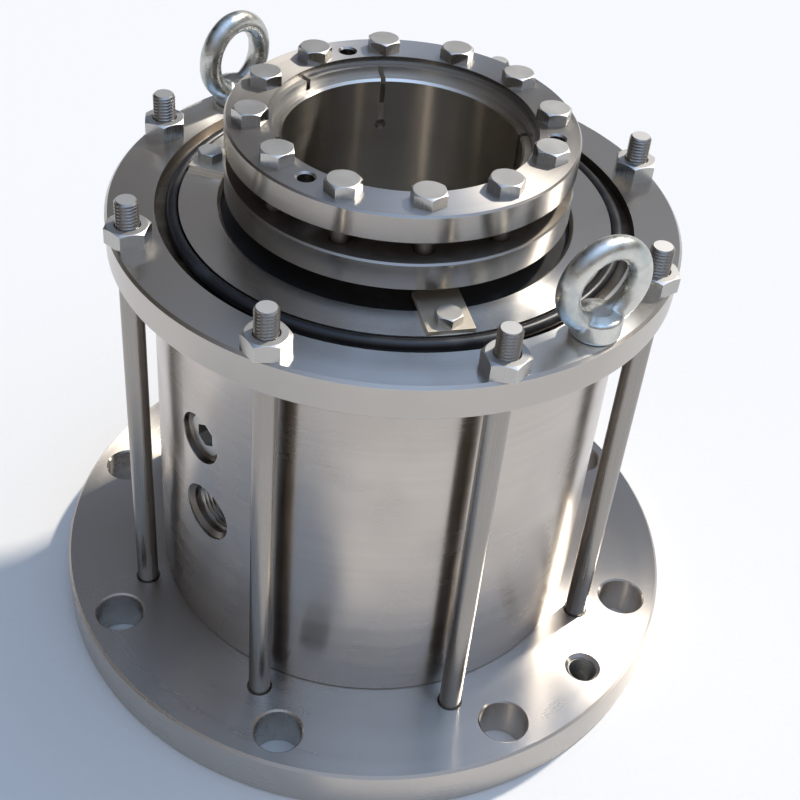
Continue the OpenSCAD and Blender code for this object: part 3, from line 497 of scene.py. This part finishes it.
FINISHES = {
    cover_steel: ("cover_ring",),
    faced_steel: ("base_flange", "seat_carrier", "drive_collar", "lower_thrust_washer",
                  "upper_thrust_washer"),
    polished_shell: ("housing_shell",),
    polished_ring: ("clamp_ring_lower", "clamp_ring_upper"),
    taper_steel: ("taper_ring",),
    honed_bore: ("shaft_sleeve",),
    drawn_bar: ("tie_rods",),
    fastener: ("clamp_bolts",),
    nut_steel: ("tie_rod_nuts", "clip_screws", "port_plug"),
    cut_strip: ("setting_clips",),
    zinc_plate: ("eye_bolt_front", "eye_bolt_rear"),
    soft_black: ("face_o_ring", "foot_o_ring", "spigot_o_ring", "lower_seat_o_ring", "carrier_o_ring",
                 "upper_seat_o_ring", "shaft_o_ring", "lower_ring_o_ring", "upper_ring_o_ring"),
    lip_black: ("lip_seal",),
    hard_seat: ("lower_seat", "upper_seat"),
    carbon: ("lower_seal_ring", "upper_seal_ring"),
    ground_steel: ("bearing_outer_race", "bearing_inner_race", "bearing_balls"),
    cage_brass: ("bearing_cage",),
    spring_steel: ("lower_wave_spring", "upper_wave_spring", "retaining_ring", "collar_set_screws",
                   "drive_pins", "lower_seat_pins", "upper_seat_pins"),
}


def paint(node, material):
    for slot in NODES[node].material_slots:
        slot.material = material


for material, nodes in FINISHES.items():
    for node in nodes:
        paint(node, material)


# Threads and forged eyes

def thread_radius(radius, depth, pitch, z, fade=1.0):
    """Radius of a right-handed thread at height z, as a function of the angle."""
    def at(angle):
        turn = (z / pitch - angle / (2 * math.pi)) % 1.0
        return radius - depth * fade * abs(2 * turn - 1)
    return at


def levels(low, high, step):
    count = max(2, round((high - low) / step))
    return [low + (high - low) * i / count for i in range(count + 1)]


def add_tie_rods():
    """Plain bars with a rolled thread above the nuts, in place of the plain cylinders."""
    radius, chamfer = 5.0 * MM, 1.0 * MM
    depth, pitch, fade_over, rings_a_turn = 0.7 * MM, 1.5 * MM, 1.5 * MM, 9
    low, high = foot_of("tie_rods"), top_of("tie_rods")
    inside_nut = 5 * MM
    thread_low = COVER_FACE + inside_nut
    bm = bmesh.new()
    steps = 36
    rings = [ring_of(bm, lambda a: radius - chamfer, low, steps)]
    for z in (low + chamfer, thread_low):
        rings.append(ring_of(bm, lambda a: radius, z, steps))
    for z in levels(thread_low, high, pitch / rings_a_turn)[1:]:
        fade = min(1.0, (z - thread_low) / fade_over)
        limit = radius - max(0.0, z - (high - chamfer))
        wound = thread_radius(radius, depth, pitch, z, fade)
        rings.append(ring_of(bm, lambda a: min(limit, wound(a)), z, steps))
    join_rings(bm, rings)
    bm.faces.new(reversed(rings[0]))
    bm.faces.new(rings[-1])
    repeat(bm, ROD_COUNT, ROD_CIRCLE, ROD_ANGLE)
    add_piece(finish_mesh(bm, "threaded_tie_rods", 35), drawn_bar, HOUSING, "drawn_rod", "tie_rods")


def add_thread_liner(mount, matrix, radius, depth, pitch, reach, steps):
    """Thread crests inside a plain bore, as one closed sleeve along the matrix's Z axis."""
    rings_a_turn = 8
    wall = radius - 0.02 * MM
    root = wall - 0.06 * MM
    bm = bmesh.new()
    rings = []
    for z in levels(-reach, reach, pitch / rings_a_turn):
        rings.append(ring_of(bm, thread_radius(root, depth, pitch, z), z, steps))
    rings.append(ring_of(bm, lambda a: wall, reach, steps))
    rings.append(ring_of(bm, lambda a: wall, -reach, steps))
    rings.append(rings[0])
    join_rings(bm, rings)
    bmesh.ops.transform(bm, matrix=matrix, verts=bm.verts)
    add_piece(finish_mesh(bm, mount + "_thread", 30), cut_thread, HOUSING, "bright_bolt")


def add_liners():
    """Pipe threads in the two ports, and metric threads in the two jacking holes."""
    for mount in ("inlet_port", "outlet_port"):
        turn = facing_along(MOUNTS[mount]["axis"])
        matrix = Matrix.Translation(Vector(MOUNTS[mount]["pos_m"])) @ turn
        add_thread_liner(mount, matrix, radius=12.05 * MM, depth=1.0 * MM, pitch=1.81 * MM,
                         reach=8 * MM, steps=56)
    for mount in ("jack_hole_front", "jack_hole_rear"):
        matrix = Matrix.Translation(Vector(MOUNTS[mount]["pos_m"]))
        add_thread_liner(mount, matrix, radius=7.0 * MM, depth=0.7 * MM, pitch=2.0 * MM,
                         reach=9 * MM, steps=40)


def add_eye(name, node):
    """A drop-forged lifting eye: thick ring on a barrel collar, with soft fillets between them."""
    centre = Vector(MOUNTS[name]["pos_m"])
    foot = Vector((centre.x, centre.y, COVER_FACE))
    ring_radius, wire_radius, swell = 21.0 * MM, 4.75 * MM, 1.06
    collar, collar_top, shank, shank_length = 10.0 * MM, 0.4 * MM, 5.0 * MM, 14.0 * MM
    middle = ring_radius - wire_radius
    bm = bmesh.new()
    section = []
    for i in range(32):
        a = 2 * math.pi * i / 32
        section.append((middle + wire_radius * math.cos(a), swell * wire_radius * math.sin(a)))
    lathe(bm, section, 96, closed=True)
    bmesh.ops.transform(bm, matrix=facing_along(MOUNTS[name]["axis"]), verts=bm.verts)
    bmesh.ops.translate(bm, vec=centre - foot, verts=bm.verts)
    seat = centre.z - COVER_FACE - ring_radius + 2 * wire_radius + collar_top
    barrel = [(collar - 0.8 * MM, 0.1 * MM), (collar, 0.9 * MM), (collar, seat - 2.8 * MM),
              (collar - 0.6 * MM, seat - 2.0 * MM), (shank, seat - 0.2 * MM), (1.0 * MM, seat)]
    lathe(bm, barrel, 64)
    lathe(bm, [(shank - 1.0 * MM, -shank_length), (shank, 1.0 * MM - shank_length), (shank, 0.5 * MM)], 32)
    bmesh.ops.translate(bm, vec=foot, verts=bm.verts)
    piece = add_piece(finish_mesh(bm, name), zinc_plate, HOUSING, "zinc_plate", node)
    skin = piece.modifiers.new("forged skin", "REMESH")
    skin.mode = "VOXEL"
    skin.voxel_size = 0.55 * MM
    skin.use_smooth_shade = True
    soft = piece.modifiers.new("soft fillets", "SMOOTH")
    soft.factor = 0.5
    soft.iterations = 5


add_tie_rods()
add_liners()
add_eye("lifting_eye_front", "eye_bolt_front")
add_eye("lifting_eye_rear", "eye_bolt_rear")


# Floor, light and camera

FLOOR_RADIUS = 25.0

# What the metal mirrors round the object
WALL = (0.27, 0.24, 0.21, 1)
WARM_WALL = (0.28, 0.265, 0.25, 1)
SKY = (1.05, 1.53, 2.35, 1)
DARK_SIDE = (0.045, 0.038, 0.032, 1)
HORIZON = (0.92, 0.935, 0.955, 1)

# The photo's camera, with the focal length for a sensor of 36 mm
CAMERA_PLACE = (0.0102, -0.4982, 0.5325)
CAMERA_DOWN = 40.15
CAMERA_ROLL = 5.938
CAMERA_LENS = 60.94


def add_floor():
    bm = bmesh.new()
    bmesh.ops.create_circle(bm, cap_ends=True, segments=96, radius=FLOOR_RADIUS)
    floor = bpy.data.objects.new("floor", finish_mesh(bm, "floor"))
    bpy.context.scene.collection.objects.link(floor)
    material, tree, sockets = new_material("Pale floor", Roughness=0.9)
    sockets["Specular IOR Level"].default_value = 0.1
    cloth = noise(tree, own_place(tree), 400.0, 3.0, 0.6)
    pale = blend_colour(tree, cloth, (0.815, 0.80, 0.775, 1), (0.855, 0.84, 0.815, 1))
    feed(tree, sockets["Base Color"], pale)
    floor.data.materials.append(material)


def add_key(azimuth, elevation, width, strength, colour):
    """One distant lamp, as wide in the sky as the given angle, so that the floor is lit evenly."""
    a, e = math.radians(azimuth), math.radians(elevation)
    back = Vector((math.cos(a) * math.cos(e), math.sin(a) * math.cos(e), math.sin(e)))
    lamp = bpy.data.lights.new("key", "SUN")
    lamp.angle = math.radians(width)
    lamp.energy = strength
    lamp.color = colour
    holder = bpy.data.objects.new("key", lamp)
    holder.rotation_euler = back.to_track_quat("Z", "Y").to_euler()
    bpy.context.scene.collection.objects.link(holder)


def add_world():
    """A pale horizon, warm walls above it, a blue sky overhead and a dark left side."""
    world = bpy.data.worlds.new("Studio")
    world.use_nodes = True
    bpy.context.scene.world = world
    tree = world.node_tree
    tree.nodes.clear()
    direction = add(tree, "ShaderNodeTexCoord").outputs["Generated"]

    def lobe(towards, power):
        """One in the given direction, falling off round it the faster the higher the power."""
        dot = add(tree, "ShaderNodeVectorMath", operation="DOT_PRODUCT")
        feed(tree, dot.inputs[0], direction)
        dot.inputs[1].default_value = Vector(towards).normalized()
        return calc(tree, "POWER", calc(tree, "MAXIMUM", dot.outputs["Value"], 0.0), power)

    walls = blend_colour(tree, lobe((0.6, 0.8, 0.45), 2.0), WALL, WARM_WALL)
    ceiling = blend_colour(tree, lobe((0.05, 0.0, 1), 4.5), walls, SKY)
    shaded = blend_colour(tree, lobe((-0.85, 0.5, 0.45), 1.6), ceiling, DARK_SIDE)
    height = add(tree, "ShaderNodeSeparateXYZ")
    feed(tree, height.inputs[0], direction)
    low = spread(tree, height.outputs[2], 0.03, 0.15, 1.0, 0.0)
    studio = blend_colour(tree, low, shaded, HORIZON)
    room = add(tree, "ShaderNodeBackground")
    feed(tree, room.inputs["Color"], studio)
    feed(tree, add(tree, "ShaderNodeOutputWorld").inputs[0], room.outputs[0])


def add_camera():
    """The photo's viewpoint: a short telephoto that looks down from the front, slightly rolled."""
    down = math.radians(CAMERA_DOWN)
    roll = math.radians(CAMERA_ROLL)
    look = Vector((0, math.cos(down), -math.sin(down)))
    level_right = Vector((1, 0, 0))
    level_up = level_right.cross(look)
    right = math.cos(roll) * level_right + math.sin(roll) * level_up
    up = -math.sin(roll) * level_right + math.cos(roll) * level_up
    lens = bpy.data.cameras.new("camera")
    lens.sensor_width = 36.0
    lens.lens = CAMERA_LENS
    camera = bpy.data.objects.new("camera", lens)
    turn = Matrix((right, up, -look)).transposed().to_4x4()
    camera.matrix_world = Matrix.Translation(Vector(CAMERA_PLACE)) @ turn
    bpy.context.scene.collection.objects.link(camera)
    bpy.context.scene.camera = camera


add_floor()
add_world()
add_key(azimuth=46, elevation=48, width=4.1, strength=3.05, colour=(1.0, 0.93, 0.82))
add_camera()
bpy.context.scene.view_settings.view_transform = "Standard"
